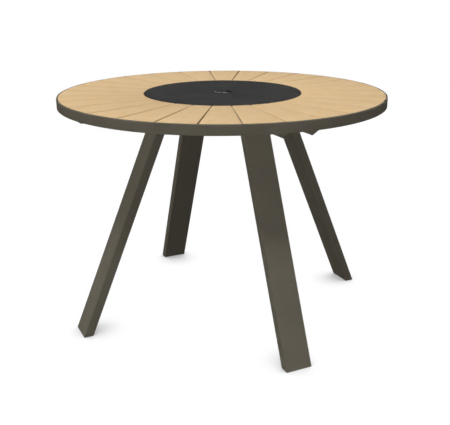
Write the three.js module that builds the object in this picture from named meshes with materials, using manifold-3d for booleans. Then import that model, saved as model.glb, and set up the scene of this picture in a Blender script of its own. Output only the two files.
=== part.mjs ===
// Round outdoor table with a parasol hole, a slatted wooden top and a turntable in the middle.
// Millimetres, +Z up. The origin is on the floor, below the middle of the table.
import * as THREE from 'three';
import { mergeVertices } from 'three/addons/utils/BufferGeometryUtils.js';
import Module from 'manifold-3d';

const wasm = await Module();
wasm.setup();

// Whole table
const HEIGHT = 750;
const TOP_RADIUS = 525;
const LEG_COUNT = 4;
const FIRST_LEG_ANGLE = THREE.MathUtils.degToRad(-45);
const SEAT_GAP = 0.3;
const SHEET_THICKNESS = 3;
const CUT_OVERRUN = 10;

// Rim
const RIM_DEPTH = 30;
const RIM_WALL = 5;
const RIM_SHOULDER_RADIUS = 3;
const RIM_EDGE_EASE = 0.6;
const LEDGE_WIDTH = 30;

// Planks. The gaps between them are widest at the rim.
const PLANKS_PER_LEG = 7;
const PLANK_THICKNESS = 18;
const PLANK_GAP_AT_RIM = 5.2;
const PLANK_END_CLEARANCE = 0.5;
const PLANK_OUTER_CORNER_EASE = 4.5;
const PLANK_INNER_CORNER_EASE = 5.5;
const PLANK_EDGE_EASE = 1.2;
const SUPPORT_RING_BEARING = 36;
const SUPPORT_RING_WIDTH = 54;

// Turntable disc
const DISC_RADIUS = 252.5;
const DISC_THICKNESS = 8;
const DISC_PROUD = 1;
const DISC_RUNNING_GAP = 1.5;
const DISC_EDGE_EASE = 0.6;

// Turntable bearing
const BEARING_OUTER_RADIUS = 146;
const BEARING_WIDTH = 34;
const TRACK_FLOOR = 2.2;
const TRACK_LIP_WIDTH = 2;
const TRACK_LIP_HEIGHT = 2.4;
const GLIDE_SIDE_CLEARANCE = 0.5;
const RACE_THICKNESS = 2.4;
const RACE_SKIRT_WIDTH = 2;
const RACE_SKIRT_CLEARANCE = 1;
const RACE_SKIRT_DROP = 4;

// Parasol hole
const HOLE_RADIUS = 28;
const GROMMET_WALL = 1.5;
const GROMMET_FLANGE_WIDTH = 2.5;
const GROMMET_FLANGE_THICKNESS = 1.2;
const GROMMET_LIP_EASE = 0.5;
const GUIDE_BORE_CLEARANCE = 0.5;
const GUIDE_WALL = 3;
const GUIDE_RUNNING_GAP = 1.5;
const GUIDE_TAIL = 30;

// Hub
const HUB_PLATE_MARGIN = 14;
const HUB_BASE_LAP = 49.2;
const HUB_BASE_CORNER = 24;

// Arms
const ARM_BEND_RADIUS = 4;
const ARM_CHEEK_DROP = 23;
const ARM_NOSE_DEPTH = 6.6;
const ARM_TIP_SETBACK = 37.5;
const GUSSET_DROP = 30;
const GUSSET_REACH = 32;
const GUSSET_INNER_FLARE = 20;
const GUSSET_OUTER_FLARE = 60;

// Legs
const LEG_WIDTH = 86.5;
const LEG_DEPTH = 29.5;
const LEG_WALL = 2.5;
const LEG_CORNER = 2.5;
const LEG_SIDE_CLEARANCE = 0.3;
const FOOT_RADIUS = 506.5;
const LEG_HEAD_RADIUS = 200;

// Foot plugs
const PLUG_FLANGE = 1.4;
const PLUG_INSET = 1.5;
const PLUG_INSERT = 24;

// Leg bolts and the nuts welded to the arms
const BOLT_RADIUS = 4;
const BOLT_CLEARANCE = 0.3;
const BOLT_HEAD_RADIUS = 7.5;
const BOLT_HEAD_RIM = 1.5;
const BOLT_HEAD_HEIGHT = 4.4;
const BOLT_CROWN_RADIUS = 5;
const BOLT_SOCKET_RADIUS = 2.6;
const BOLT_SOCKET_DEPTH = 2.6;
const NUT_RADIUS = 7.5;
const NUT_THICKNESS = 6.5;
const UPPER_BOLT_DROP = 17;
const LOWER_BOLT_MARGIN = 16.4;

// Facets
const TOP_SEGMENTS = 84;
const BEARING_SEGMENTS = 60;
const HOLE_SEGMENTS = 36;
const BOLT_SEGMENTS = 16;
const NUT_SIDES = 6;
const BEND_STEPS = 3;
const PLANK_OUTER_STEPS = 2;
const PLANK_INNER_STEPS = 2;
const PLANK_CORNER_STEPS = 2;

// Levels, from the table surface down
const surfaceLevel = HEIGHT - DISC_PROUD;
const rimBottom = surfaceLevel - RIM_DEPTH;
const plankBottom = surfaceLevel - PLANK_THICKNESS;
const gridTop = plankBottom - SEAT_GAP;
const gridBottom = gridTop - SHEET_THICKNESS;
const armTop = gridBottom - SEAT_GAP;
const armWebBottom = armTop - SHEET_THICKNESS;
const armBottom = rimBottom - ARM_CHEEK_DROP;
const hubBaseTop = armBottom - SEAT_GAP;
const hubBaseBottom = hubBaseTop - SHEET_THICKNESS;
const legTop = armWebBottom - SEAT_GAP;
const legBottom = PLUG_FLANGE + SEAT_GAP;
const discBottom = HEIGHT - DISC_THICKNESS;

// Radii
const rimInnerRadius = TOP_RADIUS - RIM_WALL;
const rimInnerApothem = rimInnerRadius * Math.cos(Math.PI / TOP_SEGMENTS);
const ledgeOuterRadius = rimInnerRadius - SEAT_GAP;
const plankOuterRadius = rimInnerApothem - PLANK_END_CLEARANCE;
const plankInnerRadius = DISC_RADIUS + DISC_RUNNING_GAP;
const supportRingOuterRadius = plankInnerRadius + SUPPORT_RING_BEARING;
const bearingInnerRadius = BEARING_OUTER_RADIUS - BEARING_WIDTH;
const hubRadius = BEARING_OUTER_RADIUS + HUB_PLATE_MARGIN;
const sleeveRadius = HOLE_RADIUS + GROMMET_WALL;
const flangeRadius = sleeveRadius + GROMMET_FLANGE_WIDTH;
const guideBoreRadius = HOLE_RADIUS + GUIDE_BORE_CLEARANCE;
const guideRadius = guideBoreRadius + GUIDE_WALL;
const guideHoleRadius = guideRadius + SEAT_GAP;

// Legs and arms
const lean = (FOOT_RADIUS - LEG_HEAD_RADIUS) / legTop;
const leanStretch = 1 / Math.cos(Math.atan(lean));
const armHalfWidth = LEG_WIDTH / 2 + LEG_SIDE_CLEARANCE + SHEET_THICKNESS;
const armStart = armHalfWidth + SEAT_GAP;
const armEnd = Math.sqrt(rimInnerApothem ** 2 - armHalfWidth ** 2) - SEAT_GAP;
const gussetBottom = armBottom - GUSSET_DROP;
const boltHoleRadius = BOLT_RADIUS + BOLT_CLEARANCE;
const boltLevels = {
  upper: armTop - UPPER_BOLT_DROP,
  lower: gussetBottom + LOWER_BOLT_MARGIN,
};
const cornerNames = ['front_right', 'back_right', 'back_left', 'front_left'];

const finishes = {
  wood: new THREE.MeshStandardMaterial({ color: 0xd6b990, roughness: 0.6, metalness: 0 }),
  coatedSteel: new THREE.MeshStandardMaterial({ color: 0x6f695d, roughness: 0.8, metalness: 0 }),
  board: new THREE.MeshStandardMaterial({ color: 0x3c3c3c, roughness: 0.85, metalness: 0 }),
  sleeve: new THREE.MeshStandardMaterial({ color: 0x42423f, roughness: 0.4, metalness: 0 }),
  stainless: new THREE.MeshStandardMaterial({ color: 0xb8b9ba, roughness: 0.3, metalness: 1 }),
  aluminium: new THREE.MeshStandardMaterial({ color: 0xa9abad, roughness: 0.4, metalness: 1 }),
  plastic: new THREE.MeshStandardMaterial({ color: 0x5d594f, roughness: 0.7, metalness: 0 }),
  slidePlastic: new THREE.MeshStandardMaterial({ color: 0xe4e2dc, roughness: 0.5, metalness: 0 }),
};

// Distance of a leg's centre line from the table's axis at a height.
function legRadiusAt(level) {
  return FOOT_RADIUS - lean * level;
}

function addPiece(parent, name, geometry, finish) {
  const mesh = new THREE.Mesh(geometry, finish);
  mesh.name = name;
  parent.add(mesh);
}

// A closed geometry as a solid that can be joined and cut.
function toSolid(geometry) {
  const bare = geometry.clone();
  bare.deleteAttribute('normal');
  bare.deleteAttribute('uv');
  const merged = mergeVertices(bare);
  return new wasm.Manifold(new wasm.Mesh({
    numProp: 3,
    vertProperties: new Float32Array(merged.attributes.position.array),
    triVerts: new Uint32Array(merged.index.array),
  }));
}

function toGeometry(solid) {
  const mesh = solid.getMesh();
  const geometry = new THREE.BufferGeometry();
  geometry.setAttribute('position', new THREE.BufferAttribute(mesh.vertProperties, 3));
  geometry.setIndex(new THREE.BufferAttribute(mesh.triVerts, 1));
  geometry.computeVertexNormals();
  return geometry;
}

// A ring turned about the vertical axis. The profile is a list of [radius, level] points.
function turnedRing(profile, segments) {
  const points = [...profile, profile[0]].map(([radius, level]) => new THREE.Vector2(radius, level));
  return new THREE.LatheGeometry(points, segments).rotateX(Math.PI / 2);
}

// A flat ring with a rectangular section.
function flatRing(innerRadius, outerRadius, bottom, top, segments) {
  const profile = [[innerRadius, bottom], [outerRadius, bottom], [outerRadius, top], [innerRadius, top]];
  return turnedRing(profile, segments);
}

function polar(radius, angle) {
  return new THREE.Vector2(radius * Math.cos(angle), radius * Math.sin(angle));
}

// Points along an arc about the origin, both ends included.
function arcPoints(radius, from, to, steps) {
  const points = [];
  for (let i = 0; i <= steps; i += 1) {
    points.push(polar(radius, from + ((to - from) * i) / steps));
  }
  return points;
}

// A rectangle about the origin, with round corners unless their radius is zero.
function roundedRectangle(width, height, corner) {
  const x = width / 2;
  const y = height / 2;
  const outline = new THREE.Shape();
  if (corner <= 0) {
    outline.moveTo(x, -y);
    outline.lineTo(x, y);
    outline.lineTo(-x, y);
    outline.lineTo(-x, -y);
    return outline;
  }
  const quarter = Math.PI / 2;
  outline.absarc(x - corner, y - corner, corner, 0, quarter);
  outline.absarc(corner - x, y - corner, corner, quarter, 2 * quarter);
  outline.absarc(corner - x, corner - y, corner, 2 * quarter, 3 * quarter);
  outline.absarc(x - corner, corner - y, corner, 3 * quarter, 4 * quarter);
  return outline;
}

function extrude(outline, depth) {
  return new THREE.ExtrudeGeometry(outline, { depth, curveSegments: BEND_STEPS, bevelEnabled: false });
}

// Half of one end of a plank, from its middle round the corner to the long side.
function plankEnd(radius, inward, side, steps) {
  const turn = Math.abs(inward) / radius;
  const end = arcPoints(radius, 0, side - turn, steps);
  for (let i = 1; i <= PLANK_CORNER_STEPS; i += 1) {
    const along = i / PLANK_CORNER_STEPS;
    end.push(polar(radius + inward * along ** 2, side - turn * (1 - along) ** 2));
  }
  return end;
}

// Planks. Each lies about the +X axis, and its long sides lie on radii.
function plankGeometry() {
  const side = Math.PI / (PLANKS_PER_LEG * LEG_COUNT) - Math.asin(PLANK_GAP_AT_RIM / 2 / plankOuterRadius);
  const upper = [
    ...plankEnd(plankOuterRadius, -PLANK_OUTER_CORNER_EASE, side, PLANK_OUTER_STEPS),
    ...plankEnd(plankInnerRadius, PLANK_INNER_CORNER_EASE, side, PLANK_INNER_STEPS).reverse(),
  ];
  const lower = upper.slice(1, -1).reverse().map((point) => new THREE.Vector2(point.x, -point.y));
  const outline = new THREE.Shape([...upper, ...lower]);
  const geometry = new THREE.ExtrudeGeometry(outline, {
    depth: PLANK_THICKNESS - 2 * PLANK_EDGE_EASE,
    bevelEnabled: true,
    bevelSegments: 1,
    bevelSize: PLANK_EDGE_EASE,
    bevelThickness: PLANK_EDGE_EASE,
    bevelOffset: -PLANK_EDGE_EASE,
  });
  return geometry.translate(0, 0, plankBottom + PLANK_EDGE_EASE);
}

function makePlanks() {
  const planks = new THREE.Group();
  const count = PLANKS_PER_LEG * LEG_COUNT;
  for (let i = 0; i < count; i += 1) {
    const place = new THREE.Group();
    place.rotation.z = FIRST_LEG_ANGLE + (i * 2 * Math.PI) / count;
    const number = String(i + 1).padStart(2, '0');
    addPiece(place, `plank_${number}`, plankGeometry(), finishes.wood);
    planks.add(place);
  }
  return planks;
}

// Rim, ledge and support ring
function rimGeometry() {
  const rounding = Math.min(RIM_SHOULDER_RADIUS, RIM_WALL - RIM_EDGE_EASE);
  const shoulder = arcPoints(rounding, 0, Math.PI / 2, BEND_STEPS)
    .map((point) => [TOP_RADIUS - rounding + point.x, surfaceLevel - rounding + point.y]);
  return turnedRing([
    [rimInnerRadius, rimBottom],
    [TOP_RADIUS - RIM_EDGE_EASE, rimBottom],
    [TOP_RADIUS, rimBottom + RIM_EDGE_EASE],
    ...shoulder,
    [rimInnerRadius, surfaceLevel],
  ], TOP_SEGMENTS);
}

function makeTopFrame() {
  const frame = new THREE.Group();
  addPiece(frame, 'rim_ring', rimGeometry(), finishes.coatedSteel);
  const ledgeInner = ledgeOuterRadius - LEDGE_WIDTH;
  const ledge = flatRing(ledgeInner, ledgeOuterRadius, gridBottom, gridTop, TOP_SEGMENTS);
  addPiece(frame, 'rim_ledge', ledge, finishes.coatedSteel);
  const supportInner = supportRingOuterRadius - SUPPORT_RING_WIDTH;
  const support = flatRing(supportInner, supportRingOuterRadius, gridBottom, gridTop, TOP_SEGMENTS);
  addPiece(frame, 'plank_support_ring', support, finishes.coatedSteel);
  return frame;
}

// Hub, around the parasol pole
function hubBaseGeometry() {
  const side = 2 * (armHalfWidth + HUB_BASE_LAP);
  const outline = roundedRectangle(side, side, HUB_BASE_CORNER);
  const plate = extrude(outline, SHEET_THICKNESS).rotateZ(FIRST_LEG_ANGLE);
  const height = SHEET_THICKNESS + 2 * CUT_OVERRUN;
  const hole = new THREE.CylinderGeometry(guideHoleRadius, guideHoleRadius, height, HOLE_SEGMENTS);
  hole.rotateX(Math.PI / 2);
  return toGeometry(toSolid(plate).subtract(toSolid(hole))).translate(0, 0, hubBaseBottom);
}

function makeHub() {
  const hub = new THREE.Group();
  const plate = flatRing(guideHoleRadius, hubRadius, gridBottom, gridTop, BEARING_SEGMENTS);
  addPiece(hub, 'hub_plate', plate, finishes.coatedSteel);
  addPiece(hub, 'hub_base_plate', hubBaseGeometry(), finishes.coatedSteel);
  const guideTop = discBottom - SEAT_GAP - GROMMET_FLANGE_THICKNESS - GUIDE_RUNNING_GAP;
  const guideBottom = hubBaseBottom - GUIDE_TAIL;
  const guide = flatRing(guideBoreRadius, guideRadius, guideBottom, guideTop, HOLE_SEGMENTS);
  addPiece(hub, 'parasol_guide_tube', guide, finishes.coatedSteel);
  return hub;
}

// Arms. Each lies along +X, a channel open below, with a deeper gusset where the leg is bolted.
function channelProfile() {
  const outer = armHalfWidth;
  const inner = armHalfWidth - SHEET_THICKNESS;
  const outerCentre = armTop - ARM_BEND_RADIUS;
  const profile = new THREE.Shape();
  profile.moveTo(inner, gussetBottom - CUT_OVERRUN);
  profile.lineTo(outer, gussetBottom - CUT_OVERRUN);
  profile.absarc(outer - ARM_BEND_RADIUS, outerCentre, ARM_BEND_RADIUS, 0, Math.PI / 2);
  profile.absarc(ARM_BEND_RADIUS - outer, outerCentre, ARM_BEND_RADIUS, Math.PI / 2, Math.PI);
  profile.lineTo(-outer, gussetBottom - CUT_OVERRUN);
  profile.lineTo(-inner, gussetBottom - CUT_OVERRUN);
  profile.lineTo(-inner, armWebBottom);
  profile.lineTo(inner, armWebBottom);
  return profile;
}

function cheekOutline() {
  const gussetMiddle = legRadiusAt(gussetBottom);
  const gussetInner = gussetMiddle - GUSSET_REACH;
  const gussetOuter = gussetMiddle + GUSSET_REACH;
  const outline = new THREE.Shape();
  outline.moveTo(armStart, armBottom);
  outline.lineTo(gussetInner - GUSSET_INNER_FLARE, armBottom);
  outline.lineTo(gussetInner, gussetBottom);
  outline.lineTo(gussetOuter, gussetBottom);
  outline.lineTo(gussetOuter + GUSSET_OUTER_FLARE, armBottom);
  outline.lineTo(armEnd - ARM_TIP_SETBACK, armBottom);
  outline.lineTo(armEnd, armTop - ARM_NOSE_DEPTH);
  outline.lineTo(armEnd, armTop + CUT_OVERRUN);
  outline.lineTo(armStart, armTop + CUT_OVERRUN);
  return outline;
}

// A bar across an arm or a leg, where the bolt at that height passes.
function crossBar(radius, low, high, level, sides) {
  const bar = new THREE.CylinderGeometry(radius, radius, high - low, sides);
  return bar.translate(legRadiusAt(level), (low + high) / 2, level);
}

function cutBoltHoles(solid, reach) {
  return Object.values(boltLevels).reduce((rest, level) => {
    const hole = crossBar(boltHoleRadius, -reach, reach, level, BOLT_SEGMENTS);
    return rest.subtract(toSolid(hole));
  }, solid);
}

function armGeometry() {
  const alongArm = new THREE.Matrix4().makeBasis(
    new THREE.Vector3(0, 1, 0),
    new THREE.Vector3(0, 0, 1),
    new THREE.Vector3(1, 0, 0),
  );
  const channel = extrude(channelProfile(), armEnd + CUT_OVERRUN).applyMatrix4(alongArm);
  const cheekDepth = 2 * (armHalfWidth + CUT_OVERRUN);
  const cheeks = extrude(cheekOutline(), cheekDepth).rotateX(Math.PI / 2);
  cheeks.translate(0, cheekDepth / 2, 0);
  const folded = toSolid(channel).intersect(toSolid(cheeks));
  const nutFace = -armHalfWidth - NUT_THICKNESS;
  const withNuts = Object.values(boltLevels).reduce((rest, level) => {
    const nut = crossBar(NUT_RADIUS, nutFace, -armHalfWidth + SHEET_THICKNESS / 2, level, NUT_SIDES);
    return rest.add(toSolid(nut));
  }, folded);
  return toGeometry(cutBoltHoles(withNuts, armHalfWidth + NUT_THICKNESS + CUT_OVERRUN));
}

// Legs. A leg stands in the plane of +X, and its horizontal cuts are its true section, stretched.
function leanGeometry(geometry) {
  const leaning = new THREE.Matrix4().set(
    leanStretch, 0, -lean, FOOT_RADIUS,
    0, 1, 0, 0,
    0, 0, 1, 0,
    0, 0, 0, 1,
  );
  return geometry.applyMatrix4(leaning);
}

// A leaning bar with the leg's section, drawn in all round by an inset.
function legBar(inset, low, high) {
  const corner = Math.max(LEG_CORNER - inset, 0);
  const section = roundedRectangle(LEG_DEPTH - 2 * inset, LEG_WIDTH - 2 * inset, corner);
  return toSolid(leanGeometry(extrude(section, high - low).translate(0, 0, low)));
}

function legGeometry() {
  const bore = legBar(LEG_WALL, legBottom - CUT_OVERRUN, legTop + CUT_OVERRUN);
  const tube = legBar(0, legBottom, legTop).subtract(bore);
  return toGeometry(cutBoltHoles(tube, LEG_WIDTH));
}

function plugGeometry() {
  const flange = legBar(PLUG_INSET, 0, PLUG_FLANGE);
  const insert = legBar(LEG_WALL + SEAT_GAP, 0, legBottom + PLUG_INSERT);
  return toGeometry(flange.add(insert));
}

// Bolts. Each runs through an arm and a leg from +Y, into the nut on the far cheek.
function boltGeometry(level) {
  const seat = armHalfWidth + SEAT_GAP;
  const crown = seat + BOLT_HEAD_HEIGHT;
  const profile = [
    [0, -armHalfWidth - NUT_THICKNESS],
    [BOLT_RADIUS, -armHalfWidth - NUT_THICKNESS],
    [BOLT_RADIUS, seat],
    [BOLT_HEAD_RADIUS, seat],
    [BOLT_HEAD_RADIUS, seat + BOLT_HEAD_RIM],
    [BOLT_CROWN_RADIUS, crown],
    [BOLT_SOCKET_RADIUS, crown],
    [BOLT_SOCKET_RADIUS, crown - BOLT_SOCKET_DEPTH],
    [0, crown - BOLT_SOCKET_DEPTH],
  ].map(([radius, along]) => new THREE.Vector2(radius, along));
  const bolt = new THREE.LatheGeometry(profile, BOLT_SEGMENTS);
  return bolt.translate(legRadiusAt(level), 0, level);
}

function makeCorner(index) {
  const corner = new THREE.Group();
  const name = cornerNames[index];
  corner.rotation.z = FIRST_LEG_ANGLE + (index * 2 * Math.PI) / LEG_COUNT;
  addPiece(corner, `arm_${name}`, armGeometry(), finishes.coatedSteel);
  addPiece(corner, `leg_${name}`, legGeometry(), finishes.coatedSteel);
  addPiece(corner, `foot_plug_${name}`, plugGeometry(), finishes.plastic);
  for (const [position, level] of Object.entries(boltLevels)) {
    addPiece(corner, `leg_bolt_${name}_${position}`, boltGeometry(level), finishes.stainless);
  }
  return corner;
}

// Turntable bearing: a track on the hub plate, a slide ring in it, and a race under the disc
function makeBearing() {
  const bearing = new THREE.Group();
  const trackBottom = gridTop + SEAT_GAP;
  const trackFloor = trackBottom + TRACK_FLOOR;
  const lipTop = trackFloor + TRACK_LIP_HEIGHT;
  const lipInner = bearingInnerRadius + TRACK_LIP_WIDTH;
  const lipOuter = BEARING_OUTER_RADIUS - TRACK_LIP_WIDTH;
  const track = turnedRing([
    [bearingInnerRadius, trackBottom],
    [BEARING_OUTER_RADIUS, trackBottom],
    [BEARING_OUTER_RADIUS, lipTop],
    [lipOuter, lipTop],
    [lipOuter, trackFloor],
    [lipInner, trackFloor],
    [lipInner, lipTop],
    [bearingInnerRadius, lipTop],
  ], BEARING_SEGMENTS);
  addPiece(bearing, 'turntable_track', track, finishes.aluminium);
  const raceTop = discBottom - SEAT_GAP;
  const raceBottom = raceTop - RACE_THICKNESS;
  const glide = flatRing(
    lipInner + GLIDE_SIDE_CLEARANCE,
    lipOuter - GLIDE_SIDE_CLEARANCE,
    trackFloor + SEAT_GAP,
    raceBottom - SEAT_GAP,
    BEARING_SEGMENTS,
  );
  addPiece(bearing, 'turntable_glide_ring', glide, finishes.slidePlastic);
  const skirtInner = BEARING_OUTER_RADIUS + RACE_SKIRT_CLEARANCE;
  const skirtOuter = skirtInner + RACE_SKIRT_WIDTH;
  const race = turnedRing([
    [bearingInnerRadius, raceBottom],
    [skirtInner, raceBottom],
    [skirtInner, raceBottom - RACE_SKIRT_DROP],
    [skirtOuter, raceBottom - RACE_SKIRT_DROP],
    [skirtOuter, raceTop],
    [bearingInnerRadius, raceTop],
  ], BEARING_SEGMENTS);
  addPiece(bearing, 'turntable_race', race, finishes.aluminium);
  return bearing;
}

// Turntable disc and the sleeve in its hole
function makeDisc() {
  const turntable = new THREE.Group();
  const counterboreLevel = HEIGHT - GROMMET_FLANGE_THICKNESS - SEAT_GAP;
  const boreRadius = sleeveRadius + SEAT_GAP;
  const disc = turnedRing([
    [boreRadius, discBottom],
    [DISC_RADIUS - DISC_EDGE_EASE, discBottom],
    [DISC_RADIUS, discBottom + DISC_EDGE_EASE],
    [DISC_RADIUS, HEIGHT - DISC_EDGE_EASE],
    [DISC_RADIUS - DISC_EDGE_EASE, HEIGHT],
    [flangeRadius + SEAT_GAP, HEIGHT],
    [flangeRadius + SEAT_GAP, counterboreLevel],
    [boreRadius, counterboreLevel],
  ], TOP_SEGMENTS);
  addPiece(turntable, 'turntable_disc', disc, finishes.board);
  const lipTop = discBottom - SEAT_GAP;
  const lipBottom = lipTop - GROMMET_FLANGE_THICKNESS;
  const grommet = turnedRing([
    [HOLE_RADIUS, lipBottom],
    [flangeRadius, lipBottom],
    [flangeRadius, lipTop],
    [sleeveRadius, lipTop],
    [sleeveRadius, HEIGHT - GROMMET_FLANGE_THICKNESS],
    [flangeRadius, HEIGHT - GROMMET_FLANGE_THICKNESS],
    [flangeRadius, HEIGHT - GROMMET_LIP_EASE],
    [flangeRadius - GROMMET_LIP_EASE, HEIGHT],
    [HOLE_RADIUS + GROMMET_LIP_EASE, HEIGHT],
    [HOLE_RADIUS, HEIGHT - GROMMET_LIP_EASE],
  ], HOLE_SEGMENTS);
  addPiece(turntable, 'parasol_grommet', grommet, finishes.sleeve);
  return turntable;
}

const table = new THREE.Group();
table.add(makePlanks(), makeTopFrame(), makeHub(), makeBearing(), makeDisc());
for (let i = 0; i < LEG_COUNT; i += 1) {
  table.add(makeCorner(i));
}

export default table;
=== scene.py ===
"""Looks of a round outdoor table: slatted wooden top, coated steel frame and dark turntable disc."""

import math

import bmesh
import bpy
from mathutils import Matrix, Vector


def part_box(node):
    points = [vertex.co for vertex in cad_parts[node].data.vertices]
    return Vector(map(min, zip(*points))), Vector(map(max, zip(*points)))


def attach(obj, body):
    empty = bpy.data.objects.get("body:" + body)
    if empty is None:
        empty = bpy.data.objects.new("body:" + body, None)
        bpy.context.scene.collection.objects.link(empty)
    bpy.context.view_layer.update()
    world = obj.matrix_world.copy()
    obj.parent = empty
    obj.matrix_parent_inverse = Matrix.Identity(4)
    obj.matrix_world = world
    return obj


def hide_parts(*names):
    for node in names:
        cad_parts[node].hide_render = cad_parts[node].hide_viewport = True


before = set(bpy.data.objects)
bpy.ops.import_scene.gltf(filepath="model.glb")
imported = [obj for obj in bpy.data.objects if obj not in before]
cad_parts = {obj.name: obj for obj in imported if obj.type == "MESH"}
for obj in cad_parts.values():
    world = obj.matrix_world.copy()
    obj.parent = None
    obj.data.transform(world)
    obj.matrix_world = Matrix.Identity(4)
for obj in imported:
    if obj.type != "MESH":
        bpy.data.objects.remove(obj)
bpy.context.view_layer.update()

MM = 0.001
CORNERS = ("front_right", "back_right", "back_left", "front_left")
FIRST_LEG_ANGLE = math.radians(-45)
LEG_COUNT = len(CORNERS)
SLATS_PER_LEG = 7
SLAT_COUNT = SLATS_PER_LEG * LEG_COUNT
SLATS = [f"plank_{number:02d}" for number in range(1, SLAT_COUNT + 1)]
QUARTER = 2 * math.pi / LEG_COUNT

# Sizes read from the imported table
rim_low, rim_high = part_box("rim_ring")
ledge_low, ledge_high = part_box("rim_ledge")
support_low, support_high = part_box("plank_support_ring")
slat_low, slat_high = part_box("plank_01")
disc_low, disc_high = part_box("turntable_disc")
hub_low, hub_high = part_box("hub_plate")
base_low, base_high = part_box("hub_base_plate")
guide_low, guide_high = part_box("parasol_guide_tube")
grommet_low, grommet_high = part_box("parasol_grommet")
track_low, track_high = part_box("turntable_track")
glide_low, glide_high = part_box("turntable_glide_ring")
race_low, race_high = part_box("turntable_race")
arm_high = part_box("arm_front_right")[1]

TOP_RADIUS = rim_high.x
SURFACE = rim_high.z
DISC_RADIUS = disc_high.x

# Sizes that the boxes don't give, and the steps of the rounded corners
RIM_WALL = 5 * MM
RIM_ROUND = 3 * MM
RIM_ROUND_STEPS = 6
RIM_EDGE = 0.6 * MM
LEDGE_WIDTH = 30 * MM
SUPPORT_WIDTH = 54 * MM
SLAT_GAP = 5.2 * MM
SLAT_END_CLEARANCE = 0.5 * MM
SLAT_OUTER_CORNER = 4.5 * MM
SLAT_INNER_CORNER = 5.5 * MM
SLAT_OUTER_STEPS = 12
SLAT_INNER_STEPS = 6
CORNER_SHARES = (0, 0.25, 0.5, 0.75, 1)
SLAT_EDGE = 1.2 * MM
DISC_GAP = 1.5 * MM
DISC_EDGE = 0.6 * MM
ARM_HALF_WIDTH = 46.55 * MM
ARM_SHEET = 3 * MM
ARM_CHEEK_DROP = 31.4 * MM
HOLE_RADIUS = 28 * MM
GROMMET_WALL = 1.5 * MM
GROMMET_FLANGE = 1.2 * MM
GROMMET_CLEARANCE = 0.3 * MM
GROMMET_EDGE = 0.5 * MM
GUIDE_BORE = 28.5 * MM
GUIDE_HOLE = 31.8 * MM
BEARING_INNER = 112 * MM
TRACK_FLOOR = 2.2 * MM
TRACK_LIP = 2 * MM
GLIDE_INNER = 114.5 * MM
RACE_PLATE = 2.4 * MM
RACE_SKIRT = 2 * MM

# How far the sharp edges of the frame, the feet and the bearing are eased
SHEET_EDGE = 0.4 * MM
RIM_CORNER_EDGE = 0.2 * MM
FOLDED_EDGE = 0.35 * MM
FOOT_EDGE = 0.4 * MM
GUIDE_EDGE = 0.8 * MM
BEARING_EDGE = 0.3 * MM

# Button head bolts with a six-sided socket. The crown is given as shares of the head's radius, each with
# its height over the seat, and the socket's mouth as a share of the socket's radius.
BOLT_RADIUS = 4 * MM
BOLT_TIP = 0.8 * MM
BOLT_HEAD_RADIUS = 7.5 * MM
BOLT_HEAD_HEIGHT = 4.4 * MM
BOLT_HEAD_EDGE = 0.3 * MM
BOLT_CROWN = ((1, 1.2 * MM), (0.93, 2.5 * MM), (0.78, 3.6 * MM), (0.58, 4.3 * MM))
BOLT_SOCKET = 2.6 * MM
BOLT_SOCKET_MOUTH = 1.22
BOLT_SOCKET_EASE = 0.2 * MM
BOLT_SOCKET_WALL_END = 2.6 * MM
BOLT_SOCKET_DEPTH = 2.8 * MM
BOLT_AXIS_GAP = 0.2 * MM

# Pan head screws, given in the same way. A slat's two outer screws lie off its middle by a share of the
# slats' pitch.
SCREW_HEAD_RADIUS = 4.2 * MM
SCREW_HEAD_HEIGHT = 2.4 * MM
SCREW_CROWN = ((1, 0.8 * MM), (0.86, 1.8 * MM), (0.6, SCREW_HEAD_HEIGHT))
SCREW_SOCKET = 1.7 * MM
SCREW_SOCKET_MOUTH = 1.2
SCREW_SOCKET_EASE = 0.2 * MM
SCREW_SOCKET_WALL_END = 0.9 * MM
SCREW_SOCKET_FLOOR = 0.8 * MM
SCREW_AXIS_GAP = 0.1 * MM
SLAT_SCREW_SHARE = 0.27
BEARING_SCREW_TURN = math.radians(12)

# Weld beads, and where they start and stop
WELD_RADIUS = 2.2 * MM
WELD_SIDES = 8
WELD_RIPPLE = 0.12
WELD_INSET = 0.6 * MM
WELD_DROP = 0.5 * MM
WELD_LEDGE_STOP = 4 * MM
WELD_HUB_START = 2 * MM
WELD_BASE_START = 3 * MM
WELD_BASE_SHARE = 0.94
WELD_RIM_HALF = 12 * MM
WELD_RIM_STEPS = 6
WELD_GUIDE_STEPS = 24

# Faces round each turned piece. ROUND_STEPS is for the plates and rings that have no number of their own.
ROUND_STEPS = 252
RIM_STEPS = 336
DISC_STEPS = 288
BEARING_STEPS = 144
SLEEVE_STEPS = 144
GUIDE_STEPS = 96
BOLT_STEPS = 36
SCREW_STEPS = 12

# Limits for merging points, and for smoothing and easing edges
SAME_PLACE = 1e-7
SAME_CAD_PLACE = 2e-6
FLAT_ANGLE = math.radians(0.5)
SMOOTH_ANGLE = math.radians(35)
BOLT_SMOOTH_ANGLE = math.radians(30)
CAD_BEVEL_ANGLE = math.radians(40)
SLAT_BEVEL_ANGLE = math.radians(50)
BEVEL_STEPS = 3
CORNER_STEPS = 3
CORNER_SIDE_SHARE = 0.45

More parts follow.
